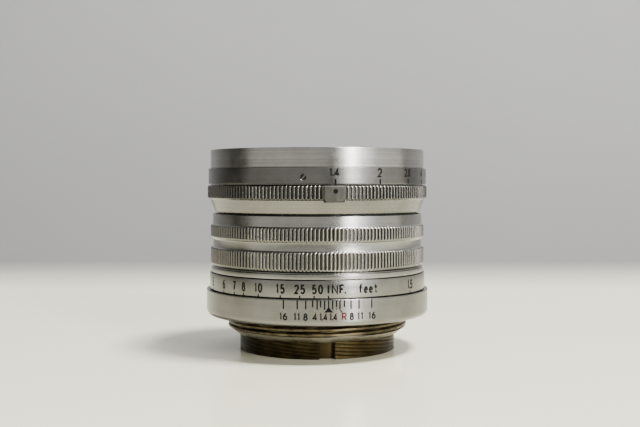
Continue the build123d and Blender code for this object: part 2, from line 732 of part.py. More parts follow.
# ---- Iris blades, each in its own layer ----
blade_middle_r = sum(BLADE_R) / 2
for number, azimuth in enumerate(pivot_azimuths):
    a = compass(azimuth)
    level = BLADE_Z + number * BLADE_PITCH
    plane = Plane(origin=(0, 0, level), x_dir=(cos(a), sin(a), 0), z_dir=(0, 0, 1))
    with BuildPart() as blade:
        with BuildSketch(plane):
            with BuildLine():
                outer = CenterArc((0, 0), BLADE_R[1], 0, BLADE_SPAN)
                inner = CenterArc((0, 0), BLADE_R[0], 0, BLADE_SPAN)
                Line(outer @ 0, inner @ 0)
                Line(outer @ 1, inner @ 1)
            make_face()
            tip = radians(BLADE_SPAN)
            with Locations((blade_middle_r * cos(tip), blade_middle_r * sin(tip))):
                Circle((BLADE_R[1] - BLADE_R[0]) / 2)
        with BuildSketch(plane):
            with Locations((PIVOT_R, 0)):
                Circle(0.75)
            with Locations(drive_pin(0)):
                Circle(0.5)
            with Locations((BLADE_R[1] - 1.2, 1.2)):
                Circle(1.2)
            make_hull()
        extrude(amount=BLADE_THICKNESS)
        with Locations(plane):
            with Locations((PIVOT_R, 0, BLADE_THICKNESS)):
                Cylinder(PIVOT_PIN_R, level + BLADE_THICKNESS - FLOOR_Z[1] + 0.7, align=HANGING)
            with Locations((*drive_pin(0), 0)):
                Cylinder(DRIVE_PIN_R, CAM_Z[1] - 0.1 - level, align=(Align.CENTER, Align.CENTER, Align.MIN))
    finish(blade, f"iris_blade_{number + 1}")
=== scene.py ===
import math

import bpy
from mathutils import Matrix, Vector


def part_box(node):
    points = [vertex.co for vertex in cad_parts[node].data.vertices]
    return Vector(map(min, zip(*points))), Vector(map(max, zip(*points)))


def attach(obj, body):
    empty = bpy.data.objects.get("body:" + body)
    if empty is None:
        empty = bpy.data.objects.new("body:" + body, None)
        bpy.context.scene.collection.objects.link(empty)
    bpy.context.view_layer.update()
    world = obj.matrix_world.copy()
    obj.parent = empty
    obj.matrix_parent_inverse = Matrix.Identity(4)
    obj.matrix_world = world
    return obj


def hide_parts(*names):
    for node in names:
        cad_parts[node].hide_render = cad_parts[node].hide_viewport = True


# The looks of a 50 mm f/1.4 rangefinder lens, standing on its rear end. Outlines are closed lists of
# (radius, height) points in millimetres; azimuths are degrees from the reading side (-Y) towards +X.

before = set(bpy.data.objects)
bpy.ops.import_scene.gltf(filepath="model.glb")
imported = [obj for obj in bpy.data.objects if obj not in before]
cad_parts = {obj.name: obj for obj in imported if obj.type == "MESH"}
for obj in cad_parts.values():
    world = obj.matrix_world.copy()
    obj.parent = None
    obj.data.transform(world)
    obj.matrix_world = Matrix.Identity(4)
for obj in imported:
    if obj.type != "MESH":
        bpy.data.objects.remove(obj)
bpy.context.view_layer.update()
MM = 0.001

# ---- Sizes that the looks share with the frame, in millimetres ----
def top_of(node):
    """Height of a CAD node's front end."""
    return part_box(node)[1][2] / MM


def bottom_of(node):
    """Height of a CAD node's rear end."""
    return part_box(node)[0][2] / MM


def radius_of(node):
    """Outer radius of a CAD node that runs all round the axis."""
    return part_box(node)[1][0] / MM


INLAY_PROUD = 0.006            # engraved marks stand this much out of their ring
INLAY_DEPTH = 0.05             # and reach this deep into it
CROSSING_STEP = 0.002          # height between strokes that cross
MARK_ROOM = 0.012              # keeps the marks of the widest ring inside the CAD box
DEPTH_R = radius_of("depth_scale_ring") - MARK_ROOM
DISTANCE_R = radius_of("distance_ring")
GRIP_R = radius_of("focus_grip")
APERTURE_R = radius_of("aperture_ring")
SCALE_R = radius_of("aperture_scale_ring")
FILTER_R = radius_of("filter_ring")
SLEEVE_R = radius_of("helicoid_sleeve")
THREAD_R = 19.5
TOP_Z = top_of("filter_ring")

TEETH = 180                    # in each knurled band
KNURL_DEPTH = 0.32
FINE_COLUMNS = TEETH * 8
PLAIN_COLUMNS = 360
LUG_AZIMUTHS = (3.25, 13.6)
LUG_R = 24.15
KEYWAY_AZIMUTHS = (1.77, 12.43)
HELICOID_LEAD = 9.14
HELICOID_STARTS = 12
CAMERA_PITCH = 25.4 / 26
CAMERA_THREAD_Z = (4.9, 7.02)
CAMERA_THREAD_DEPTH = 0.5
FILTER_PITCH = 0.75
SCREW_TILT = 55                # degrees that the slots of the set screws lean
SCALE_SCREW_AZIMUTHS = [-6.55 + 120 * i for i in range(3)]
SCALE_SCREW_Z = 37.2
DEPTH_SCREW_AZIMUTHS = [100 + 80 * i for i in range(3)]
DEPTH_SCREW_Z = 10.6


# ---- Mesh helpers ----
def place(azimuth, radius, height):
    """The point at an azimuth in degrees, a radius and a height in millimetres, in metres."""
    a = math.radians(azimuth - 90)
    return (radius * math.cos(a) * MM, radius * math.sin(a) * MM, height * MM)


def soften(outline, amount):
    """Rounds every corner of a closed outline with a small curve of five points."""
    rounded = []
    count = len(outline)
    for i, corner in enumerate(outline):
        before, after = outline[i - 1], outline[(i + 1) % count]
        cut = []
        for other in (before, after):
            length = math.dist(corner, other)
            share = min(amount, 0.45 * length) / length
            cut.append([corner[k] + (other[k] - corner[k]) * share for k in (0, 1)])
        for t in (0, 0.25, 0.5, 0.75, 1):
            a, b, c = (1 - t) ** 2, 2 * t * (1 - t), t * t
            rounded.append(tuple(a * cut[0][k] + b * corner[k] + c * cut[1][k] for k in (0, 1)))
    return rounded


def bow(start, middle, end, steps=12):
    """Points of the circular arc through three points."""
    ax, ay, bx, by, cx, cy = *start, *middle, *end
    d = 2 * (ax * (by - cy) + bx * (cy - ay) + cx * (ay - by))
    a2, b2, c2 = ax * ax + ay * ay, bx * bx + by * by, cx * cx + cy * cy
    x = (a2 * (by - cy) + b2 * (cy - ay) + c2 * (ay - by)) / d
    y = (a2 * (cx - bx) + b2 * (ax - cx) + c2 * (bx - ax)) / d
    first, last = math.atan2(ay - y, ax - x), math.atan2(cy - y, cx - x)
    radius = math.dist((x, y), start)
    angles = [first + (last - first) * k / steps for k in range(steps + 1)]
    return [(x + radius * math.cos(a), y + radius * math.sin(a)) for a in angles]


def refine(outline, step, low, high):
    """Divides the outline's stretches between two heights so that rows are at most a step apart."""
    fine = []
    for i, start in enumerate(outline):
        end = outline[(i + 1) % len(outline)]
        fine.append(start)
        middle = (start[1] + end[1]) / 2
        if low <= middle <= high:
            parts = max(1, math.ceil(math.dist(start, end) / step))
            for k in range(1, parts):
                fine.append(tuple(start[j] + (end[j] - start[j]) * k / parts for j in (0, 1)))
    return fine


def arc(centre_x, centre_y, radius_x, radius_y, start, end, steps=14):
    """Points of an elliptical arc between two angles in degrees."""
    points = []
    for i in range(steps + 1):
        a = math.radians(start + (end - start) * i / steps)
        points.append((centre_x + radius_x * math.cos(a), centre_y + radius_y * math.sin(a)))
    return points


def prism(points, faces, azimuth, height, corners, outer_r, inner_r):
    """Adds a radial prism; corners are its (across, up) outline in millimetres, anticlockwise."""
    start, sides = len(points), len(corners)
    for radius in (outer_r, inner_r):
        for x, y in corners:
            points.append(place(azimuth + math.degrees(x / outer_r), radius, height + y))
    faces.append(tuple(start + i for i in range(sides)))
    faces.append(tuple(start + sides + i for i in reversed(range(sides))))
    for i in range(sides):
        j = (i + 1) % sides
        faces.append((start + i, start + sides + i, start + sides + j, start + j))


def make_mesh(name, points, faces, sharp_angle=35):
    """A smooth-shaded mesh object, sharp where its faces turn by more than an angle."""
    mesh = bpy.data.meshes.new(name)
    mesh.from_pydata(points, [], faces)
    mesh.polygons.foreach_set("use_smooth", [True] * len(mesh.polygons))
    mesh.set_sharp_from_angle(angle=math.radians(sharp_angle))
    mesh.validate()
    piece = bpy.data.objects.new(name, mesh)
    bpy.context.scene.collection.objects.link(piece)
    return piece


def turned(name, outline, columns=PLAIN_COLUMNS, shape=None, sharp_angle=35, edges=()):
    """A closed piece turned about the optical axis; shape(azimuth, radius, height) cuts its radius.

    Edges are azimuths of sharp cuts, which get a pair of close columns each.
    """
    azimuths = [360 * column / columns for column in range(columns)]
    azimuths = sorted(azimuths + [edge + side for edge in edges for side in (-0.01, 0.01)])
    columns = len(azimuths)
    points, depths = [], []
    for azimuth in azimuths:
        for radius, height in outline:
            cut = shape(azimuth, radius, height) if shape else radius
            points.append(place(azimuth, cut, height))
            depths.append(radius - cut)
    rows = len(outline)
    faces = []
    for column in range(columns):
        here, there = column * rows, (column + 1) % columns * rows
        for row in range(rows):
            ahead = (row + 1) % rows
            faces.append((here + row, there + row, there + ahead, here + ahead))
    piece = make_mesh(name, points, faces, sharp_angle)
    if shape:
        piece.data.attributes.new("cut_depth", "FLOAT", "POINT").data.foreach_set("value", depths)
    return piece


def drilled(name, outline, holes, columns=PLAIN_COLUMNS):
    """A turned piece whose outer wall has radial holes, each (azimuth, height, radius, floor radius)."""
    wall_r = max(radius for radius, height in outline)
    rows = refine(outline, 0.35, min(p[1] for p in outline), max(p[1] for p in outline))
    count = len(rows)
    points = []
    for column in range(columns):
        points += [place(360 * column / columns, radius, height) for radius, height in rows]
    gone, patches = set(), []
    for azimuth, height, hole_r, floor_r in holes:
        wall = [i for i, p in enumerate(rows) if p[0] > wall_r - 1e-4 and abs(p[1] - height) < 2.1 * hole_r]
        first, last = wall[0], wall[-1]
        reach = round(math.degrees(2.1 * hole_r / wall_r) * columns / 360)
        centre = round(azimuth * columns / 360)
        around = [(centre + k) % columns for k in range(-reach, reach + 1)]
        gone |= {column * count + row for column in around[:-1] for row in range(first, last)}
        loop = [(k, first) for k in range(-reach, reach + 1)]
        loop += [(reach, row) for row in range(first + 1, last + 1)]
        loop += [(k, last) for k in range(reach - 1, -reach - 1, -1)]
        loop += [(-reach, row) for row in range(last - 1, first, -1)]
        ring = [(centre + k) % columns * count + row for k, row in loop]
        flat = []
        for k, row in loop:
            turn = (centre + k) * 360 / columns - azimuth
            flat.append((math.radians(turn) * wall_r, rows[row][1] - height))
        sections = [(share, 0.03, 0.0) for share in (0.25, 0.5, 0.75, 1)]
        sections += [(1, 0.0, 0.03), (1, 0.0, 0.2), (1, 0.0, wall_r - floor_r)]
        for share, flare, depth in sections:
            start = len(points)
            for x, z in flat:
                size = math.hypot(x, z)
                far = size + (hole_r + flare - size) * share
                turn = azimuth + math.degrees(x / size * far / wall_r)
                points.append(place(turn, wall_r - depth, height + z / size * far))
            new = list(range(start, start + len(flat)))
            for i in range(len(ring)):
                j = (i + 1) % len(ring)
                patches.append((ring[i], ring[j], new[j], new[i]))
            ring = new
        patches.append(tuple(ring))
    faces = []
    for column in range(columns):
        here, there = column * count, (column + 1) % columns * count
        for row in range(count):
            if here + row not in gone:
                ahead = (row + 1) % count
                faces.append((here + row, there + row, there + ahead, here + ahead))
    return make_mesh(name, points, faces + patches)


def dress(piece, body, slot, material, *nodes):
    """Gives a piece its body, its material and the CAD nodes that it stands for."""
    piece.data.materials.clear()
    piece.data.materials.append(material)
    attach(piece, body)
    if nodes:
        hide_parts(*nodes)


def wave(turns):
    """A triangle wave: 0 at whole turns, 1 half-way between them."""
    return 1 - abs(2 * (turns % 1) - 1)


def within(azimuth, limits):
    """True between two azimuths that don't span azimuth 0."""
    return limits[0] < azimuth < limits[1]


# ---- Materials ----
def new_material(name):
    """A node material; returns it with its tree and its principled shader."""
    material = bpy.data.materials.new(name)
    material.use_nodes = True
    tree = material.node_tree
    return material, tree, tree.nodes["Principled BSDF"]


def node(tree, kind, **settings):
    """Adds a node, setting its properties and, by name, its unlinked inputs."""
    made = tree.nodes.new(kind)
    for key, value in settings.items():
        if hasattr(made, key):
            setattr(made, key, value)
        else:
            made.inputs[key.replace("_", " ").title()].default_value = value
    return made


def turning_marks(tree, scale):
    """Noise that runs round the axis, as the marks of a lathe tool do; scale is per metre."""
    link = tree.links.new
    coordinates = node(tree, "ShaderNodeTexCoord")
    parts = node(tree, "ShaderNodeSeparateXYZ")
    link(coordinates.outputs["Object"], parts.inputs[0])
    flat = node(tree, "ShaderNodeCombineXYZ")
    link(parts.outputs["X"], flat.inputs["X"])
    link(parts.outputs["Y"], flat.inputs["Y"])
    radius = node(tree, "ShaderNodeVectorMath", operation="LENGTH")
    link(flat.outputs[0], radius.inputs[0])
    along = node(tree, "ShaderNodeCombineXYZ")
    link(parts.outputs["Z"], along.inputs["X"])
    link(radius.outputs["Value"], along.inputs["Y"])
    noise = node(tree, "ShaderNodeTexNoise", scale=scale, detail=4.0, roughness=0.6)
    link(along.outputs[0], noise.inputs["Vector"])
    return noise


def blotches(tree, scale, detail=5.0):
    """Uneven patches over the surface; scale is per metre."""
    coordinates = node(tree, "ShaderNodeTexCoord")
    noise = node(tree, "ShaderNodeTexNoise", scale=scale, detail=detail, roughness=0.6)
    tree.links.new(coordinates.outputs["Object"], noise.inputs["Vector"])
    return noise


def ramp(tree, source, *stops):
    """A colour ramp of (position, colour) stops fed by a noise."""
    made = node(tree, "ShaderNodeValToRGB")
    elements = made.color_ramp.elements
    while len(elements) < len(stops):
        elements.new(0.5)
    for element, (position, colour) in zip(elements, stops):
        element.position = position
        element.color = (*colour, 1)
    tree.links.new(source, made.inputs[0])
    return made


def spread(tree, source, low, high):
    """Maps a noise onto a range of values."""
    made = node(tree, "ShaderNodeMapRange")
    made.inputs["From Min"].default_value = 0.3
    made.inputs["From Max"].default_value = 0.7
    made.inputs["To Min"].default_value = low
    made.inputs["To Max"].default_value = high
    tree.links.new(source, made.inputs["Value"])
    return made


def roughen(tree, shader, source, distance, strength=1.0):
    """Feeds a height to the shader's normal; distance is in metres."""
    bump = node(tree, "ShaderNodeBump", strength=strength, distance=distance)
    tree.links.new(source, bump.inputs["Height"])
    tree.links.new(bump.outputs[0], shader.inputs["Normal"])


def tint(tree, base, factor, low, high):
    """Multiplies a colour by a grey that follows a noise."""
    grey = spread(tree, factor, low, high)
    mix = node(tree, "ShaderNodeMix", data_type="RGBA", blend_type="MULTIPLY")
    mix.inputs["Factor"].default_value = 1
    tree.links.new(base, mix.inputs["A"])
    tree.links.new(grey.outputs[0], mix.inputs["B"])
    return mix.outputs["Result"]


def knurl_painted_shade(tree, metal):
    """Darkens a colour by how deep the knurl is cut, down to KNURL_DEPTH: painted shade in the grooves and
    on the flanks, and a little on the crests.
    """
    cut = node(tree, "ShaderNodeAttribute", attribute_name="cut_depth")
    depth = node(tree, "ShaderNodeMapRange")
    depth.inputs["From Max"].default_value = KNURL_DEPTH
    tree.links.new(cut.outputs["Fac"], depth.inputs["Value"])
    # Painted shade: the deeper the cut, the darker the colour.
    knurl_shade = ramp(tree, depth.outputs[0], (0.0, (1, 1, 1)), (0.06, (0.76, 0.75, 0.73)),
                 (0.5, (0.42, 0.41, 0.385)), (0.9, (0.28, 0.273, 0.252)))
    mix = node(tree, "ShaderNodeMix", data_type="RGBA", blend_type="MULTIPLY")
    mix.inputs["Factor"].default_value = 1
    tree.links.new(metal, mix.inputs["A"])
    tree.links.new(knurl_shade.outputs[0], mix.inputs["B"])
    return mix.outputs["Result"]


def chrome(name, dark, light, roughness, anisotropy=0.6, streaks=(0.86, 1.0), knurl=False):
    """Satin chrome: streaks and marks from the lathe, faint stains and uneven polish; on knurls, painted
    shade in the cut teeth.
    """
    material, tree, shader = new_material(name)
    shader.inputs["Metallic"].default_value = 1
    shader.inputs["Anisotropic"].default_value = anisotropy
    stains = ramp(tree, blotches(tree, 130, 3.0).outputs[0], (0.32, dark), (0.6, light))
    colour = tint(tree, stains.outputs[0], turning_marks(tree, 2600).outputs[0], *streaks)
    if knurl:
        colour = knurl_painted_shade(tree, colour)
    tree.links.new(colour, shader.inputs["Base Color"])
    polish = blotches(tree, 420, 3.0)
    tree.links.new(spread(tree, polish.outputs[0], *roughness).outputs[0], shader.inputs["Roughness"])
    tangent = node(tree, "ShaderNodeTangent", direction_type="RADIAL", axis="Z")
    tree.links.new(tangent.outputs[0], shader.inputs["Tangent"])
    roughen(tree, shader, turning_marks(tree, 9000).outputs[0], 1.5e-6)
    return material


def plain_metal(name, dark, light, roughness, metallic=1.0, patch=400, grain=6000, depth=2e-6):
    """Bare or blackened metal with patches of colour and a fine grain."""
    material, tree, shader = new_material(name)
    shader.inputs["Metallic"].default_value = metallic
    patches = blotches(tree, patch, 8.0)
    tree.links.new(ramp(tree, patches.outputs[0], (0.35, dark), (0.65, light)).outputs[0],
                   shader.inputs["Base Color"])
    wear = blotches(tree, patch * 2.3)
    tree.links.new(spread(tree, wear.outputs[0], *roughness).outputs[0], shader.inputs["Roughness"])
    roughen(tree, shader, blotches(tree, grain).outputs[0], depth)
    return material


def glass(name, tint, coating):
    """Optical glass with a coloured anti-reflection coating."""
    material, tree, shader = new_material(name)
    shader.inputs["Base Color"].default_value = (*tint, 1)
    shader.inputs["Transmission Weight"].default_value = 1
    shader.inputs["IOR"].default_value = 1.5
    shader.inputs["Specular Tint"].default_value = (*coating, 1)
    dust = blotches(tree, 2500, 10.0)
    tree.links.new(spread(tree, dust.outputs[0], 0.0, 0.02).outputs[0], shader.inputs["Roughness"])
    return material


def paint(name, colour, roughness):
    """The paint in engraved marks, slightly worn."""
    material, tree, shader = new_material(name)
    fade = blotches(tree, 2200, 6.0)
    worn = tuple(min(1, channel * 1.6 + 0.004) for channel in colour)
    tree.links.new(ramp(tree, fade.outputs[0], (0.45, colour), (0.8, worn)).outputs[0],
                   shader.inputs["Base Color"])
    shader.inputs["Roughness"].default_value = roughness
    shader.inputs["Specular IOR Level"].default_value = 0.1
    return material


CHROME = chrome("satin_chrome", (0.17, 0.167, 0.153), (0.215, 0.211, 0.195), (0.2, 0.26))
POLISHED = chrome("polished_chrome", (0.32, 0.314, 0.288), (0.40, 0.393, 0.365), (0.18, 0.24),
                  streaks=(0.72, 1.0))
# A darker copy of the satin chrome for the aperture scale ring: painted shade for the darker reflection
# that this ring shows.
SHADED_CHROME = chrome("aperture_scale_shaded_chrome", (0.13, 0.127, 0.117), (0.167, 0.164, 0.152), (0.2, 0.25))
GRIP_CHROME = chrome("focus_grip_chrome", (0.26, 0.255, 0.236), (0.318, 0.313, 0.289), (0.2, 0.27),
                     anisotropy=0.4, knurl=True)
APERTURE_CHROME = chrome("aperture_ring_chrome", (0.15, 0.147, 0.135), (0.185, 0.182, 0.167), (0.22, 0.3),
                         anisotropy=0.3, knurl=True)
LIP = chrome("nickel_lip", (0.52, 0.49, 0.40), (0.66, 0.63, 0.53), (0.24, 0.38), anisotropy=0.3)
MOUNT_BRASS = plain_metal("mount_brass", (0.03, 0.025, 0.013), (0.15, 0.122, 0.072), (0.3, 0.5))
PATINA = plain_metal("patina_brass", (0.018, 0.0135, 0.0055), (0.05, 0.037, 0.015), (0.35, 0.5), patch=260)
BRASS = plain_metal("inner_brass", (0.30, 0.20, 0.09), (0.50, 0.36, 0.18), (0.25, 0.45))
BLACK = plain_metal("black_enamel", (0.006, 0.006, 0.007), (0.02, 0.02, 0.021), (0.35, 0.6), metallic=0.0)
STEEL = plain_metal("plain_steel", (0.32, 0.31, 0.29), (0.52, 0.50, 0.47), (0.25, 0.45), patch=1500)
SCREW_STEEL = plain_metal("screw_steel", (0.022, 0.021, 0.019), (0.05, 0.048, 0.043), (0.2, 0.3),
                          patch=1500)
BLUED = plain_metal("blued_steel", (0.012, 0.013, 0.017), (0.04, 0.042, 0.05), (0.35, 0.55))
LUG_METAL = plain_metal("lug_grey", (0.038, 0.037, 0.033), (0.066, 0.064, 0.057), (0.45, 0.6), metallic=0.6,
                        patch=900, grain=9000, depth=4e-6)
GLASS_FRONT = glass("coated_glass_front", (0.97, 0.98, 1.0), (0.75, 0.6, 1.0))
GLASS_REAR = glass("coated_glass_rear", (0.97, 0.98, 1.0), (1.0, 0.75, 0.45))
BLACK_PAINT = paint("black_paint", (0.002, 0.002, 0.002), 0.7)
RED_PAINT = paint("red_paint", (0.07, 0.01, 0.013), 0.6)

NODE_MATERIALS = {
    STEEL: ["guide_key", "guide_key_screws", "grip_screws", "focus_stop_pin", "sleeve_screws",
            "aperture_drive_screw"],
    BRASS: ["helicoid_nut", "optical_shim", "iris_cam_ring"],
    BLACK: ["front_cell", "triplet_cell", "triplet_retaining_ring", "rear_cell", "iris_housing"],
    BLUED: [f"iris_blade_{i + 1}" for i in range(8)],
}
for material, names in NODE_MATERIALS.items():
    for name in names:
        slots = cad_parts[name].data.materials
        slots.clear()
        slots.append(material)


# ---- Fixed part: mount barrel and depth-of-field ring ----
def camera_thread(azimuth, radius, height):
    """Cuts the 39 mm camera thread, right-handed, between its lip and its relief groove."""
    if radius < THREAD_R - 0.3 or not CAMERA_THREAD_Z[0] < height < CAMERA_THREAD_Z[1]:
        return radius
    depth = CAMERA_THREAD_DEPTH * max(0, 1 - 1.7 * wave(height / CAMERA_PITCH - azimuth / 360))
    return min(radius, THREAD_R - depth)


def make_mount():
    """The barrel that screws into the camera, and its bright chamfered lip."""
    thread = soften([(17.6, 4.85), (19.2, 4.85), (19.5, 5.1), (19.5, 7.0), (19.0, 7.05), (19.0, 7.5),
                     (20.2, 7.5), (20.2, 16.9), (20.7, 16.9), (20.7, 18.4), (19.07, 18.4), (19.07, 13.5),
                     (17.6, 13.5)], 0.04)
    barrel = turned("camera_thread_barrel", refine(thread, 0.09, 4.8, 7.0), 720, camera_thread)
    dress(barrel, "mount", "mount_brass", MOUNT_BRASS, "mount_barrel")
    lip = soften([(17.0, 3.6), (17.5, 3.6), (19.1, 4.85), (19.1, 4.95), (17.62, 4.95), (17.62, 13.5),
                  (17.0, 13.5)], 0.05)
    dress(turned("mount_lip", lip), "mount", "mount_brass", LIP)


def make_depth_ring():
    """The fixed ring with the depth-of-field scale, its foot rounded down to the flange."""
    foot = [(21.5, 7.5)] + bow((23.1, 7.67), (23.86, 7.99), (DEPTH_R, 8.75))
    head = soften([(20.2, 10.0), (DEPTH_R, 10.0), (DEPTH_R, 13.14), (20.2, 13.14)], 0.09)[10:15]
    outline = [(20.2, 7.5)] + foot + head + [(20.2, 13.14)]
    hole_r, hole_floor_r = 0.72, 23.7
    holes = [(azimuth, DEPTH_SCREW_Z, hole_r, hole_floor_r) for azimuth in DEPTH_SCREW_AZIMUTHS]
    dress(drilled("depth_of_field_ring", outline, holes), "mount", "satin_chrome", CHROME,
          "depth_scale_ring")


# ---- Turning part: focusing grip and distance ring ----
def knurled(azimuth, radius, crest_r):
    """The radius where the teeth of a knurled band have been cut."""
    root_r = crest_r - KNURL_DEPTH
    tooth = min(0.93, max(0, 3 * wave(azimuth * TEETH / 360) - 0.75))
    return min(radius, root_r + KNURL_DEPTH * tooth) if radius > root_r else radius


def grip_knurl(azimuth, radius, height):
    """Cuts the teeth of the two knurled bands of the focusing grip."""
    return knurled(azimuth, radius, GRIP_R) if height > 18.2 else radius


def make_grip():
    """The focusing grip: two knurled bands, the valley between them and the plain band above."""
    outline = soften([(20.77, 16.79), (22.9, 16.79), (23.15, 16.98), (23.15, 17.92), (22.45, 17.98),
                      (22.45, 18.16), (22.6, 18.2), (GRIP_R, 18.95), (GRIP_R, 22.0), (22.72, 22.45),
                      (22.72, 24.05), (GRIP_R, 24.65), (GRIP_R, 26.85), (22.81, 27.24), (22.81, 29.42),
                      (22.25, 29.42), (22.25, 18.5), (20.77, 18.5)], 0.07)
    rows = refine(outline, 0.1, 18.2, 19.0)
    rows = refine(rows, 0.12, 21.9, 22.5)
    rows = refine(rows, 0.1, 24.0, 24.7)
    rows = refine(rows, 0.12, 26.8, 27.3)
    grip = turned("knurled_focus_grip", rows, FINE_COLUMNS, grip_knurl, 60)
    dress(grip, "focus_ring", "satin_chrome", GRIP_CHROME, "focus_grip")


def make_distance_ring():
    """The ring with the distance scale."""
    outline = soften([(20.27, 13.3), (DISTANCE_R, 13.3), (DISTANCE_R, 16.79), (20.27, 16.79)], 0.09)
    dress(turned("distance_scale_ring", outline), "focus_ring", "satin_chrome", CHROME, "distance_ring")


# ---- Sliding part ----
def helicoid_thread(azimuth, radius, height):
    """Cuts the left-hand multi-start thread and the keyway of the sleeve."""
    if radius > SLEEVE_R - 0.3 and 0.1 < height < 8:
        turns = height / (HELICOID_LEAD / HELICOID_STARTS) + HELICOID_STARTS * azimuth / 360
        radius = min(radius, SLEEVE_R - 0.14 * min(1, max(0, 2.2 * wave(turns) - 1.2)))
    if radius > 15.7 and height < 13.5 and within(azimuth, KEYWAY_AZIMUTHS):
        radius = 15.7
    return radius


def make_sleeve():
    """The keyed brass sleeve that the lens stands on."""
    outline = soften([(14.9, 0), (SLEEVE_R, 0), (SLEEVE_R, 26.9), (14.9, 26.9)], 0.1)
    rows = refine(outline, 0.09, -0.01, 0.5)
    lower = [i for i, p in enumerate(rows) if p[0] > SLEEVE_R - 0.01 and p[1] < 1][-1]
    threads = [(SLEEVE_R, 0.2 + 0.085 * i) for i in range(1, 92)]
    rows[lower + 1:lower + 1] = threads + [(SLEEVE_R, 13.49), (SLEEVE_R, 13.51)]
    sleeve = turned("brass_helicoid_sleeve", rows, 720, helicoid_thread, edges=KEYWAY_AZIMUTHS)
    dress(sleeve, "optical_unit", "patina_brass", PATINA, "helicoid_sleeve")


def make_skirt():
    """The tube that shows between the aperture ring and the grip, and a black neck above it that is painted
    shadow in the gap under the aperture ring.
    """
    outline = soften([(21.3, 20.7), (22.05, 20.7), (22.05, 28.86), (21.65, 29.26), (21.3, 29.26)], 0.06)
    dress(turned("inner_barrel_skirt", outline), "optical_unit", "satin_chrome", CHROME, "barrel_skirt")
    # Painted shadow: a black neck darkens the gap between the grip and the aperture ring.
    neck = soften([(20.3, 29.2), (21.35, 29.2), (21.35, 29.66), (20.3, 29.66)], 0.06)
    dress(turned("skirt_neck_painted_shadow", neck), "optical_unit", "black_metal", BLACK)


def make_scale_ring():
    """The ring with the aperture scale; round holes hold its set screws. Its chrome is a darker,
    painted-shade copy, and a thin black band under it is painted shadow in the seam above the aperture
    ring.
    """
    outline = soften([(20.42, 35.73), (SCALE_R, 35.73), (SCALE_R, 39.13), (20.42, 39.13)], 0.05)
    hole_r, hole_floor_r = 0.64, 23.05
    holes = [(azimuth, SCALE_SCREW_Z, hole_r, hole_floor_r) for azimuth in SCALE_SCREW_AZIMUTHS]
    dress(drilled("aperture_numeral_ring", outline, holes), "optical_unit", "satin_chrome",
          SHADED_CHROME, "aperture_scale_ring")
    # Painted shadow: a thin black band darkens the seam between the aperture ring and the scale ring.
    foot = soften([(20.42, 35.62), (23.1, 35.62), (23.1, 35.74), (20.42, 35.74)], 0.03)
    dress(turned("scale_ring_seam_shadow", foot), "optical_unit", "black_metal", BLACK)


def filter_thread(azimuth, radius, height):
    """Cuts the filter thread on the front ring's inner wall."""
    if 21.4 < radius < 21.65 and 40.85 < height < 42.75:
        return radius + 0.3 * wave(height / FILTER_PITCH - azimuth / 360)
    return radius


def make_filter_ring():
    """The front ring with its filter thread."""
    outline = soften([(20.42, 39.13), (FILTER_R, 39.13), (FILTER_R, TOP_Z), (21.9, TOP_Z), (21.5, 42.69),
                      (21.5, 40.8), (21.9, 40.8), (21.9, 39.9), (20.42, 39.9)], 0.07)
    rows = refine(outline, 0.07, 40.8, 42.75)
    dress(turned("front_filter_ring", rows, 540, filter_thread), "optical_unit", "satin_chrome", POLISHED,
          "filter_ring")


def make_retaining_rings():
    """The black rings that hold the glass, each with two spanner slots."""
    def spanner_slots(azimuth, radius, height):
        near = min(abs((azimuth - slot + 180) % 360 - 180) for slot in (90, 270))
        return radius + 0.5 if near < 2.2 and radius < 19.6 and height > 38 else radius

    outline = soften([(17.7, 36.75), (19.38, 36.75), (19.38, 39.9), (21.3, 39.9), (21.3, 40.4),
                      (19.0, 40.4), (18.7, 39.7), (18.45, 39.7), (18.2, 38.7), (17.95, 38.7),
                      (17.7, 37.4)], 0.05)
    dress(turned("front_glass_ring", outline, PLAIN_COLUMNS, spanner_slots), "optical_unit", "black_metal",
          BLACK, "front_retaining_ring")
    low, high = bottom_of("rear_retaining_ring"), top_of("rear_retaining_ring")
    outline = soften([(11.6, low + 0.5), (11.9, low), (12.5, low), (12.5, high), (11.6, high)], 0.06)
    dress(turned("rear_glass_ring", outline), "optical_unit", "black_metal", BLACK, "rear_retaining_ring")


# ---- Glass ----
def dome(vertex, curvature, rim, steps=24):
    """Points of a spherical surface from the axis out to the rim."""
    points = []
    for i in range(steps + 1):
        radius = rim * i / steps
        drop = abs(curvature) - math.sqrt(curvature ** 2 - radius ** 2)
        points.append((radius, vertex - math.copysign(drop, curvature)))
    return points


def lens_block(name, front, rear, rim, rear_rim, material, nodes):
    """A block of glass between two spherical surfaces, each (vertex, radius of curvature)."""
    top = dome(*front, rim)
    bottom = dome(*rear, rear_rim)
    if rim != rear_rim:
        bottom.append((rim, bottom[-1][1]))
    half = top[1:] + bottom[:0:-1]
    columns = 180
    points = [(0, 0, top[0][1] * MM), (0, 0, bottom[0][1] * MM)]
    for column in range(columns):
        points += [place(360 * column / columns, radius, height) for radius, height in half]
    rows = len(half)
    faces = []
    for column in range(columns):
        here, there = 2 + column * rows, 2 + (column + 1) % columns * rows
        faces.append((0, here, there))
        faces.append((1, there + rows - 1, here + rows - 1))
        faces += [(here + i, here + i + 1, there + i + 1, there + i) for i in range(rows - 1)]
    piece = make_mesh(name, points, faces, 30)
    dress(piece, "optical_unit", "coated_glass", material, *nodes)


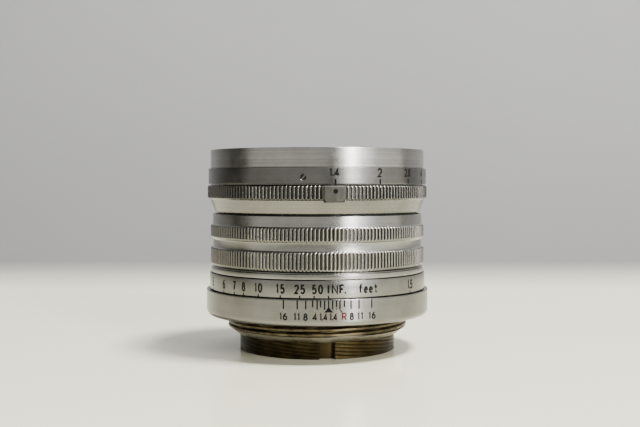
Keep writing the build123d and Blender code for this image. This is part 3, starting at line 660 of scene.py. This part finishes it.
def make_glass():
    """The front element and the two cemented triplets."""
    lens_block("front_element", (40.7, 41.0), (36.5, 150.0), 18.4, 18.4, GLASS_FRONT, ["lens_1_front"])
    lens_block("front_triplet", (36.3, 24.0), (33.1, 24.0), 12.0, 10.2, GLASS_FRONT,
               ["lens_2_triplet_front", "lens_3_triplet_middle", "lens_4_triplet_rear"])
    lens_block("rear_triplet", (20.0, 110.0), (6.6, -38.0), 12.5, 12.5, GLASS_REAR,
               ["lens_5_rear_front", "lens_6_rear_middle", "lens_7_rear_last"])


# ---- Aperture ring ----
def aperture_knurl(azimuth, radius, height):
    """Cuts the teeth of the aperture ring and the notch that the lug is set in."""
    if height > 32.18 and radius > 22.5 and within(azimuth, LUG_AZIMUTHS):
        return 22.5
    return knurled(azimuth, radius, APERTURE_R) if height > 32.4 else radius


def make_aperture_ring():
    """The knurled aperture ring with its tapered skirt."""
    outline = soften([(20.17, 29.76), (22.24, 29.76), (23.35, 32.5), (APERTURE_R, 32.9),
                      (APERTURE_R, 35.2), (23.55, 35.54), (20.17, 35.54)], 0.07)
    rows = refine(outline, 0.1, 32.4, 33.0)
    rows = refine(rows, 0.1, 35.1, 35.5)
    rows = refine(rows, 0.1, 29.9, 32.4)
    ring = turned("knurled_aperture_ring", rows, FINE_COLUMNS, aperture_knurl, 60, LUG_AZIMUTHS)
    dress(ring, "aperture_ring", "satin_chrome", APERTURE_CHROME, "aperture_ring")


def make_lug():
    """The smooth finger lug, a curved block with rounded lower corners."""
    columns, rows = 40, 30
    low, high = 32.2, 35.5
    outer_r, inner_r = LUG_R, 22.52
    middle = sum(LUG_AZIMUTHS) / 2
    half_width = (LUG_AZIMUTHS[1] - LUG_AZIMUTHS[0]) / 2
    corner, bevel = 0.9, 0.25
    points = []
    for surface in (outer_r, inner_r):
        for i in range(columns + 1):
            across = -1 + 2 * i / columns
            for j in range(rows + 1):
                height = low + (high - low) * j / rows
                side = abs(across) * half_width * math.radians(outer_r)
                room = half_width * math.radians(outer_r) - side
                lift = 0
                if room < corner:
                    lift = corner - math.sqrt(max(0, corner ** 2 - (corner - room) ** 2))
                height = max(height, low + lift)
                edge = min(room, high - height, height - low - lift + 0.001, bevel)
                drop = bevel - math.sqrt(max(0, bevel ** 2 - (bevel - edge) ** 2))
                radius = surface - drop if surface == outer_r else surface
                points.append(place(middle + across * half_width, radius, height))
    faces = []
    row = rows + 1
    back = (columns + 1) * row
    for i in range(columns):
        for j in range(rows):
            a = i * row + j
            faces.append((a, a + row, a + row + 1, a + 1))
            faces.append((back + a, back + a + 1, back + a + row + 1, back + a + row))
    rim = [i * row for i in range(columns + 1)]
    rim += [columns * row + j for j in range(1, rows + 1)]
    rim += [i * row + rows for i in range(columns - 1, -1, -1)]
    rim += [j for j in range(rows - 1, 0, -1)]
    for k, a in enumerate(rim):
        b = rim[(k + 1) % len(rim)]
        faces.append((a, back + a, back + b, b))
    dress(make_mesh("finger_lug", points, faces, 45), "aperture_ring", "lug_grey", LUG_METAL,
          "aperture_lug")


# ---- Set screws ----
def make_set_screws(name, node, body, azimuths, height, radius, face_r, inner_r):
    """Slotted headless screws set radially in a ring, each a core with the two halves of its face."""
    slot_depth, slot_half_angle = 0.3, 20
    whole = arc(0, 0, radius, radius, 0, 360, 28)[:-1]
    points, faces = [], []
    for azimuth in azimuths:
        prism(points, faces, azimuth, height, whole, face_r - slot_depth, inner_r)
        for side in (0, 180):
            start = side + SCREW_TILT
            half = arc(0, 0, radius, radius, start + slot_half_angle, start + 180 - slot_half_angle, 14)
            prism(points, faces, azimuth, height, half, face_r, face_r - slot_depth - 0.01)
    dress(make_mesh(name, points, faces, 40), body, "steel", SCREW_STEEL, node)


# ---- Engraved marks: thin inlays that lie in the ring's surface ----
# Each glyph: its width and its strokes, in units of its height
GLYPHS = {
    "0": (0.62, [arc(0.31, 0.5, 0.31, 0.5, 0, 360, 28)]),
    "1": (0.30, [[(0.02, 0.78), (0.2, 1.0), (0.2, 0.0)]]),
    "2": (0.60, [arc(0.3, 0.7, 0.28, 0.3, 165, -35) + [(0.02, 0.0), (0.6, 0.0)]]),
    "3": (0.58, [arc(0.28, 0.75, 0.25, 0.25, 150, -90) + arc(0.28, 0.26, 0.3, 0.26, 90, -150)[1:]]),
    "4": (0.70, [[(0.48, 0.0), (0.48, 1.0), (0.0, 0.27), (0.72, 0.27)]]),
    "5": (0.60, [[(0.54, 1.0), (0.12, 1.0), (0.07, 0.56)] + arc(0.28, 0.31, 0.31, 0.31, 125, -150)]),
    "6": (0.62, [arc(0.62, 0.36, 0.62, 0.64, 100, 178, 10) + arc(0.31, 0.3, 0.31, 0.3, 180, 540, 24)]),
    "7": (0.58, [[(0.0, 1.0), (0.58, 1.0), (0.2, 0.0)]]),
    "8": (0.60, [arc(0.3, 0.76, 0.23, 0.24, -90, 270, 22), arc(0.3, 0.27, 0.3, 0.27, 90, 450, 24)]),
    ".": (0.28, [[(0.0, 0.05), (0.28, 0.05)]]),
    "I": (0.28, [[(0.06, 0.0), (0.06, 1.0)]]),
    "N": (0.88, [[(0.0, 0.0), (0.0, 1.0), (0.88, 0.0), (0.88, 1.0)]]),
    "F": (0.66, [[(0.66, 1.0), (0.0, 1.0), (0.0, 0.0)], [(0.0, 0.52), (0.56, 0.52)]]),
    "R": (0.58, [[(0.0, 0.0), (0.0, 1.0), (0.3, 1.0)] + arc(0.3, 0.75, 0.27, 0.25, 90, -90)
                 + [(0.0, 0.5)], [(0.28, 0.5), (0.58, 0.0)]]),
    "f": (0.56, [arc(0.52, 0.76, 0.28, 0.24, 75, 180, 8) + [(0.24, 0.0)], [(0.0, 0.62), (0.56, 0.62)]]),
    "e": (0.52, [[(0.02, 0.34), (0.5, 0.34)] + arc(0.26, 0.33, 0.26, 0.33, 5, 320, 18)]),
    "t": (0.54, [[(0.22, 0.94), (0.22, 0.24)] + arc(0.46, 0.24, 0.24, 0.24, 180, 275, 6),
                 [(0.0, 0.62), (0.52, 0.62)]]),
}
LETTER_GAP = 0.36


def stroke(points, faces, path, width, radius, azimuth, height, layer):
    """Adds one stroke, a strip along a path of (across, up) millimetres, wrapped on a cylinder."""
    closed = math.dist(path[0], path[-1]) < 1e-6
    count = len(path)
    start = len(points)
    for i, (x, y) in enumerate(path):
        back = path[i - 1] if i else (path[-2] if closed else path[0])
        ahead = path[i + 1] if i < count - 1 else (path[1] if closed else path[-1])
        turn_in = (x - back[0], y - back[1])
        turn_out = (ahead[0] - x, ahead[1] - y)
        length_in, length_out = math.hypot(*turn_in), math.hypot(*turn_out)
        unit_in = [c / length_in for c in turn_in] if length_in else [c / length_out for c in turn_out]
        unit_out = [c / length_out for c in turn_out] if length_out else unit_in
        direction = (unit_in[0] + unit_out[0], unit_in[1] + unit_out[1])
        size = math.hypot(*direction) or 1
        direction = (direction[0] / size, direction[1] / size)
        miter = min(2.2, 1 / max(0.2, direction[0] * unit_in[0] + direction[1] * unit_in[1]))
        reach_x, reach_y = -direction[1] * width / 2 * miter, direction[0] * width / 2 * miter
        for side in (1, -1):
            turn = azimuth + math.degrees((x + side * reach_x) / radius)
            up = height + y + side * reach_y
            points.append(place(turn, radius + INLAY_PROUD + layer, up))
            points.append(place(turn, radius - INLAY_DEPTH, up))
    for i in range(count - 1):
        a, b = start + 4 * i, start + 4 * (i + 1)
        faces += [(a, a + 2, b + 2, b), (a + 1, b + 1, b + 3, a + 3), (a, b, b + 1, a + 1),
                  (a + 2, a + 3, b + 3, b + 2)]
    if not closed:
        a, b = start, start + 4 * (count - 1)
        faces += [(a, a + 1, a + 3, a + 2), (b, b + 2, b + 3, b + 1)]


class Scale:
    """The engraved marks of one ring, gathered into one mesh."""

    def __init__(self, radius):
        self.radius = radius
        self.points = []
        self.faces = []
        self.layer = 0

    def line(self, path, width, azimuth, height=0.0):
        """One stroke; each later one lies a hair higher, so that crossing strokes don't share a face."""
        self.layer = (self.layer + 1) % 3
        stroke(self.points, self.faces, path, width, self.radius, azimuth, height,
               CROSSING_STEP * self.layer)

    def tick(self, azimuth, low, high, width=0.16):
        """A straight mark along the axis."""
        self.line([(0, low), (0, high)], width, azimuth)

    def text(self, words, azimuth, low, size, width, anchor=0.5, squeeze=1.0):
        """Numerals or letters; anchor says which share of their length stands at the azimuth."""
        starts = [0]
        for c, following in zip(words, words[1:]):
            gap = LETTER_GAP * (0.35 if "." in (c, following) else 1)
            starts.append(starts[-1] + GLYPHS[c][0] * squeeze + gap)
        length = starts[-1] + GLYPHS[words[-1]][0] * squeeze
        for c, start in zip(words, starts):
            left = (start - length * anchor) * size
            for path in GLYPHS[c][1]:
                self.line([(left + x * size * squeeze, y * size) for x, y in path], width, azimuth, low)

    def patch(self, azimuth, height, corners):
        """A filled mark with an outline of (across, up) corners, anticlockwise."""
        prism(self.points, self.faces, azimuth, height, corners, self.radius + INLAY_PROUD,
              self.radius - INLAY_DEPTH)

    def disc(self, azimuth, height, radius):
        """A round dot."""
        self.patch(azimuth, height, arc(0, 0, radius, radius, 0, 360, 28)[:-1])

    def finish(self, name, body, slot, material):
        """Makes the mesh and lets it ride on its ring."""
        dress(make_mesh(name, self.points, self.faces, 40), body, slot, material)


# Azimuths of the far distances, in feet; the nearer ones follow the lens law
FOCUS_FEET = {"50": -1.3, "25": -8.3, "15": -18.0, "10": -30.0, "8": -39.25, "7": -46.0, "6": -55.15}
FOCAL_LENGTH = 52.15
FOOT = 304.8
DEGREES_PER_MM = 360 / HELICOID_LEAD
INFINITY_AZIMUTH = 5.6


def focus_azimuth(feet):
    """Where a distance is engraved: the helicoid's extension for it, turned back from infinity."""
    spare = feet * FOOT - 2 * FOCAL_LENGTH
    extension = (spare - math.sqrt(spare ** 2 - 4 * FOCAL_LENGTH ** 2)) / 2
    return INFINITY_AZIMUTH - extension * DEGREES_PER_MM


def make_distance_scale():
    """Distances in feet, from infinity round to the nearest."""
    scale = Scale(DISTANCE_R)
    tick = dict(low=13.34, high=13.85, width=0.28)
    numeral = dict(low=14.3, size=1.58, width=0.36, squeeze=0.69)
    marks = dict(FOCUS_FEET)
    for word in ("5", "4", "3.5", "3", "2.5", "2", "1.75", "1.5"):
        marks[word] = focus_azimuth(float(word))
    for word, azimuth in marks.items():
        scale.tick(azimuth, **tick)
        beside_infinity = 1.6 if word == "50" else 0
        scale.text(word, azimuth + beside_infinity, **numeral)
    scale.tick(INFINITY_AZIMUTH, **tick)
    scale.text("INF.", INFINITY_AZIMUTH, anchor=0.02, **numeral)
    scale.text("feet", azimuth=25.9, **numeral)
    scale.finish("distance_marks", "focus_ring", "black_metal", BLACK_PAINT)


DEPTH_CENTRE = 5.5
DEGREES_PER_STOP = 1.333       # from the index to a depth-of-field tick, for each unit of the f-number
DEPTH_STOPS = {1.4: True, 2.8: False, 4: True, 5.6: False, 8: True, 11: True, 16: True}  # long ticks: True
# Azimuths of each f-number left and right of the index; the right-hand 4 gives way to the infrared mark
DEPTH_NUMERALS = {"16": (-15.55, 27.35), "11": (-9.05, 21.15), "8": (-4.95, 16.9), "4": (-0.55, None),
                  "1.4": (3.45, 8.1)}


def make_depth_scale():
    """The index, the depth-of-field ticks and their f-numbers, and the red infrared mark."""
    scale = Scale(DEPTH_R)
    tick_top = 12.98
    scale.tick(DEPTH_CENTRE, low=11.2, high=tick_top, width=0.26)
    half_width, slope = 0.91, 1.2
    for x in range(-9, 9):
        left, right = 0.1 * x, 0.1 * (x + 1)
        scale.patch(DEPTH_CENTRE, 10.62, [(left, 0), (right, 0), (right, slope * (half_width - abs(right))),
                                          (left, slope * (half_width - abs(left)))])
    scale.disc(DEPTH_CENTRE + 3.7, height=11.32, radius=0.13)
    for stop, long in DEPTH_STOPS.items():
        for side in (-1, 1):
            low = 11.22 if long else 11.65
            scale.tick(DEPTH_CENTRE + side * DEGREES_PER_STOP * stop, low, tick_top, width=0.29)
    for word, places in DEPTH_NUMERALS.items():
        for azimuth in places:
            if azimuth is not None:
                squeeze = 0.7 if "." in word else 0.85
                scale.text(word, azimuth - 0.35, low=9.13, size=1.2, width=0.3, squeeze=squeeze)
    scale.line([(0, 11.05), (0.42, 10.6)], width=0.24, azimuth=10.9)
    scale.finish("depth_marks", "mount", "black_metal", BLACK_PAINT)
    infrared = Scale(DEPTH_R)
    infrared.text("R", azimuth=12.9, low=9.1, size=1.3, width=0.3)
    infrared.finish("infrared_mark", "mount", "black_metal", RED_PAINT)


APERTURE_MARKS = {"1.4": 8.9, "2": 32.2, "2.8": 51.95, "4": 67.9, "5.6": 79.0, "8": 87.5, "11": 94.0,
                  "16": 98.9}
CROWDED_AZIMUTH = 75           # the f-numbers past this stand close together, so they are smaller


def make_aperture_scale():
    """The f-numbers with their ticks, and the index dot on the lug."""
    scale = Scale(SCALE_R)
    for word, azimuth in APERTURE_MARKS.items():
        scale.tick(azimuth, low=35.78, high=36.8, width=0.36)
        if azimuth > CROWDED_AZIMUTH:
            scale.text(word, azimuth, low=37.45, size=1.1, width=0.22, squeeze=0.6)
        elif "." in word:
            scale.text(word, azimuth - 0.5, low=37.42, size=1.38, width=0.31, squeeze=0.8)
        else:
            scale.text(word, azimuth - 0.3, low=37.3, size=1.55, width=0.34, squeeze=0.92)
    scale.finish("aperture_marks", "optical_unit", "black_metal", BLACK_PAINT)
    dot = Scale(LUG_R)
    dot.disc(azimuth=8.8, height=34.4, radius=0.47)
    dot.finish("lug_index_dot", "aperture_ring", "black_metal", BLACK_PAINT)


# ---- Stage ----
def make_floor():
    """A pale, slightly glossy table top that sweeps up into a backdrop."""
    width, depth_front, depth_back, bend, wall = 3.0, 0.16, 0.14, 0.22, 1.6
    section = [(-depth_front, 0.0), (depth_back, 0.0)]
    for i in range(1, 13):
        a = math.radians(90 * i / 12)
        section.append((depth_back + bend * math.sin(a), bend * (1 - math.cos(a))))
    section.append((depth_back + bend, wall))
    points = []
    for side in (-width, width):
        points += [(side, y, z) for y, z in section]
    count = len(section)
    faces = [(i, count + i, count + i + 1, i + 1) for i in range(count - 1)]
    floor = make_mesh("table_top", points, faces, 60)
    material, tree, shader = new_material("pale_table")
    coordinates = node(tree, "ShaderNodeTexCoord")
    parts = node(tree, "ShaderNodeSeparateXYZ")
    tree.links.new(coordinates.outputs["Object"], parts.inputs[0])
    table = (0.86, 0.83, 0.66)
    backdrop = ramp(tree, parts.outputs["Z"], (0.0, (0.15, 0.15, 0.15)), (0.2, (0.25, 0.25, 0.255)))
    reach = node(tree, "ShaderNodeMapRange")
    reach.inputs["From Min"].default_value = 0.095
    reach.inputs["From Max"].default_value = 0.18
    tree.links.new(parts.outputs["Y"], reach.inputs["Value"])
    colour = node(tree, "ShaderNodeMix", data_type="RGBA")
    colour.inputs["A"].default_value = (*table, 1)
    tree.links.new(backdrop.outputs[0], colour.inputs["B"])
    tree.links.new(reach.outputs[0], colour.inputs["Factor"])
    grained = tint(tree, colour.outputs["Result"], blotches(tree, 6, 4.0).outputs[0], 0.94, 1.0)
    tree.links.new(grained, shader.inputs["Base Color"])
    dull = node(tree, "ShaderNodeMapRange")
    dull.inputs["To Min"].default_value = 0.16
    tree.links.new(reach.outputs[0], dull.inputs["Value"])
    tree.links.new(dull.outputs[0], shader.inputs["Roughness"])
    floor.data.materials.append(material)


def area_light(name, azimuth, elevation, distance, width, height, power, colour=(1, 1, 1), behind=0.0):
    """A soft rectangular light that faces a spot so far behind the lens; azimuths run from -Y to +X."""
    light = bpy.data.lights.new(name, "AREA")
    light.shape = "RECTANGLE"
    light.size, light.size_y = width, height
    light.energy = power
    light.color = colour
    lamp = bpy.data.objects.new(name, light)
    bpy.context.scene.collection.objects.link(lamp)
    a, e = math.radians(azimuth - 90), math.radians(elevation)
    away = Vector((math.cos(e) * math.cos(a), math.cos(e) * math.sin(a), math.sin(e)))
    lamp.location = Vector((0, behind, 0.02)) + distance * away
    lamp.rotation_euler = (-away).to_track_quat("-Z", "Y").to_euler()


def make_light():
    """Soft window light from the front right, a key from the upper right, weak fills and a dim room."""
    world = bpy.data.worlds.new("soft_room")
    world.use_nodes = True
    background = world.node_tree.nodes["Background"]
    background.inputs[0].default_value = (0.80, 0.79, 0.74, 1)
    background.inputs[1].default_value = 0.10
    bpy.context.scene.world = world
    area_light("window", 36, 16, 0.9, 0.14, 0.6, 6.2, (1, 0.99, 0.98))
    area_light("window_glow", 44, 16, 0.95, 0.5, 0.7, 3.6, (1, 0.99, 0.98))
    area_light("key", 74, 68, 1.1, 0.26, 0.26, 34, (1, 0.985, 0.95))
    area_light("right_fill", 80, 8, 1.1, 0.85, 0.5, 1.7, (1, 0.985, 0.94))
    area_light("left_fill", -32, 6, 1.1, 2.1, 0.4, 2.1, (1, 0.985, 0.94))
    area_light("overhead", 0, 86, 0.9, 1.0, 0.6, 1.1, (1, 0.99, 0.95))
    area_light("backdrop_light", 0, 55, 0.4, 0.5, 0.1, 0.7, (0.97, 0.98, 1), 0.36)


def make_camera():
    """A short telephoto, level with the rings and tilted slightly down."""
    data = bpy.data.cameras.new("camera")
    data.lens = 55.15
    data.sensor_width = 36
    data.clip_start, data.clip_end = 0.01, 20
    camera = bpy.data.objects.new("camera", data)
    camera.location = (0.00062, -0.2156, 0.03623)
    camera.rotation_euler = (math.radians(90 - 1.845), 0, 0)
    bpy.context.scene.collection.objects.link(camera)
    bpy.context.scene.camera = camera


make_camera()
make_floor()
make_light()
make_mount()
make_depth_ring()
make_grip()
make_distance_ring()
make_sleeve()
make_skirt()
make_scale_ring()
make_filter_ring()
make_retaining_rings()
make_glass()
make_aperture_ring()
make_lug()
make_distance_scale()
make_depth_scale()
make_aperture_scale()
make_set_screws("scale_set_screws", "scale_ring_screws", "optical_unit", SCALE_SCREW_AZIMUTHS,
                SCALE_SCREW_Z, radius=0.55, face_r=23.3, inner_r=20.6)
make_set_screws("depth_set_screws", "depth_ring_screws", "mount", DEPTH_SCREW_AZIMUTHS,
                DEPTH_SCREW_Z, radius=0.6, face_r=23.85, inner_r=20.9)
